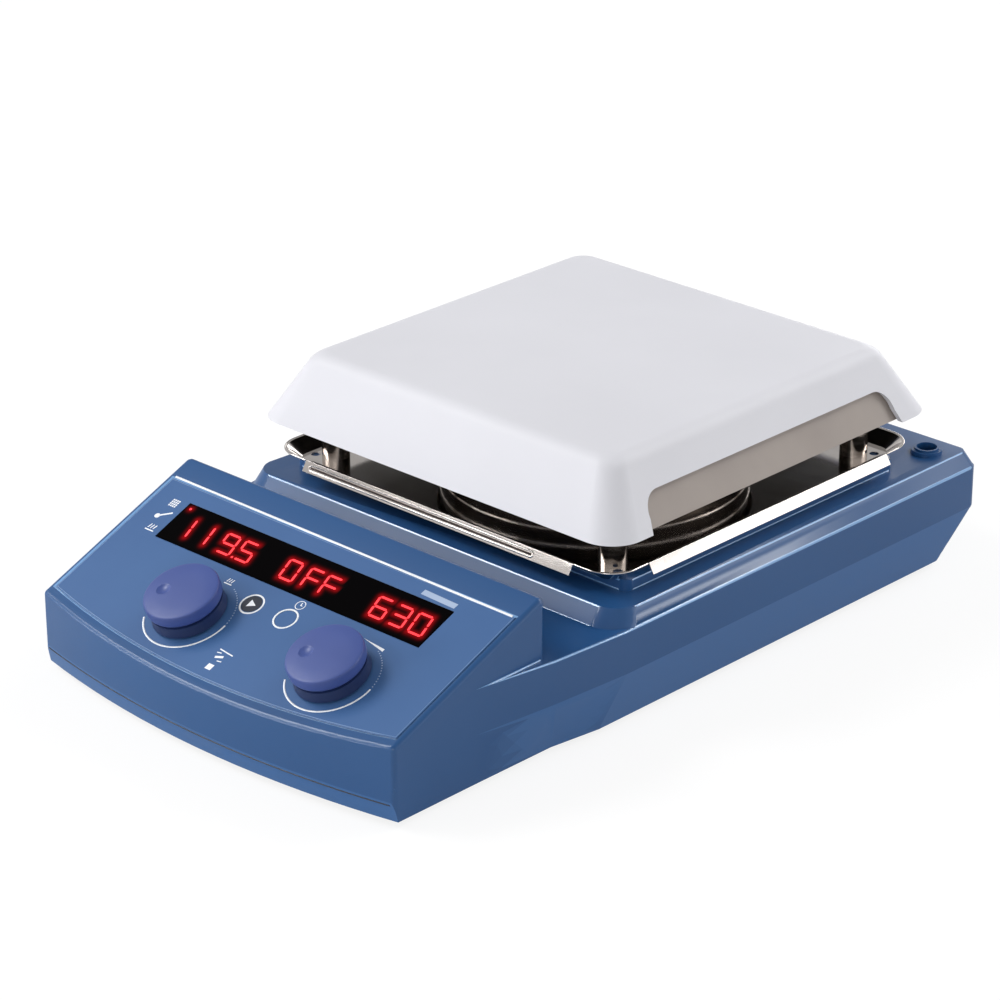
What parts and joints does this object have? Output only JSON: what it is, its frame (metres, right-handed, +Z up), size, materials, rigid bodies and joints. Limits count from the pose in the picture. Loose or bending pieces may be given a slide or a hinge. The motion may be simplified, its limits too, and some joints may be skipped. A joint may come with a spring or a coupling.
{
  "type": "hotplate magnetic stirrer",
  "caption": "Hotplate magnetic stirrer with a sloped control console, a square white heating plate on posts over a polished tray, and a low blue body.",
  "frame": {"origin": "middle of the footprint, on the table under the feet", "axes": "+Z up, +Y from the control console to the rear, +X to the right as seen from the console"},
  "size_m": [0.215, 0.362, 0.1044],
  "materials": {
    "housing_blue": "satin paint with a fine grain",
    "base_dark": "matt powder coat",
    "foot_rubber": "matt rubber",
    "screw_steel": "zinc-plated steel",
    "membrane_blue": "satin polyester membrane",
    "window_black": "glossy dark window",
    "module_black": "moulded black plastic",
    "board_green": "solder mask over fibreglass",
    "encoder_zinc": "cast and turned metal",
    "tray_steel": "polished stainless steel",
    "post_steel": "turned and polished steel",
    "plate_white": "smooth white enamel",
    "pan_grey": "warm grey satin coat",
    "insulation_fibre": "pressed ceramic fibre",
    "heater_metal": "cast aluminium",
    "sensor_steel": "drawn steel capsule",
    "motor_dark": "lacquered motor case",
    "bay_dark": "moulded plastic, fine grain",
    "connector_black": "moulded black plastic",
    "pin_brass": "plated brass",
    "iron_core": "varnished iron sheets",
    "capacitor_sleeve": "shrink sleeve",
    "knob_blue": "satin moulded plastic",
    "key_blue": "satin moulded plastic",
    "rocker_black": "glossy moulded plastic",
    "carrier_metal": "turned aluminium",
    "magnet_ferrite": "sintered magnet"
  },
  "bodies": {
    "stirrer": {"upper_housing": "housing_blue", "base_plate": "base_dark", "feet": "foot_rubber", "base_screws": "screw_steel", "front_overlay": "membrane_blue", "display_window": "window_black", "display_modules": "module_black", "control_board": "board_green", "board_spacers": "screw_steel", "board_screws": "screw_steel", "rotary_encoders": "encoder_zinc", "key_switches": "module_black", "rod_socket": "encoder_zinc", "deflector_tray": "tray_steel", "plate_posts": "post_steel", "post_nuts": "screw_steel", "top_plate": "plate_white", "heater_pan": "pan_grey", "insulation": "insulation_fibre", "heating_element": "heater_metal", "temperature_sensor": "sensor_steel", "magnet_cover": "tray_steel", "motor_bracket": "screw_steel", "motor": "motor_dark", "drive_screws": "screw_steel", "rear_panel": "bay_dark", "inlet_screws": "screw_steel", "sensor_socket": "connector_black", "sensor_pins": "pin_brass", "inlet_housing": "connector_black", "inlet_pins": "pin_brass", "power_board": "board_green", "power_pillars": "connector_black", "transformer": "iron_core", "heat_sink": "heater_metal", "capacitors": "capacitor_sleeve"},
    "left_knob": {"knob_left": "knob_blue"},
    "right_knob": {"knob_right": "knob_blue"},
    "run_button": {"run_key": "key_blue"},
    "timer_button": {"timer_key": "key_blue"},
    "rocker": {"power_rocker": "rocker_black"},
    "fuse_holder": {"fuse_drawer": "connector_black"},
    "magnet_rotor": {"magnet_carrier": "carrier_metal", "rotor_magnets": "magnet_ferrite"}
  },
  "joints": [
    {"name": "left_knob_turn", "type": "hinge", "parent": "stirrer", "child": "left_knob", "pos_m": [-0.0308, -0.1549, 0.04795], "axis": [0, -0.3875, 0.9219], "continuous": true},
    {"name": "right_knob_turn", "type": "hinge", "parent": "stirrer", "child": "right_knob", "pos_m": [0.0503, -0.1549, 0.04795], "axis": [0, -0.3875, 0.9219], "continuous": true},
    {"name": "run_key_press", "type": "slide", "parent": "stirrer", "child": "run_button", "axis": [0, 0.3875, -0.9219], "range_m": [0, 0.0005], "stiffness_N_per_m": 400},
    {"name": "timer_key_press", "type": "slide", "parent": "stirrer", "child": "timer_button", "axis": [0, 0.3875, -0.9219], "range_m": [0, 0.0005], "stiffness_N_per_m": 400},
    {"name": "rocker_turn", "type": "hinge", "parent": "stirrer", "child": "rocker", "pos_m": [0.0534, 0.1702, 0.0245], "axis": [1, 0, 0], "range_deg": [0, 16]},
    {"name": "fuse_drawer_slide", "type": "slide", "parent": "stirrer", "child": "fuse_holder", "axis": [0, 1, 0], "range_m": [0, 0.013]},
    {"name": "rotor_spin", "type": "hinge", "parent": "stirrer", "child": "magnet_rotor", "pos_m": [0, 0.0525, 0.08], "axis": [0, 0, 1], "continuous": true}
  ]
}
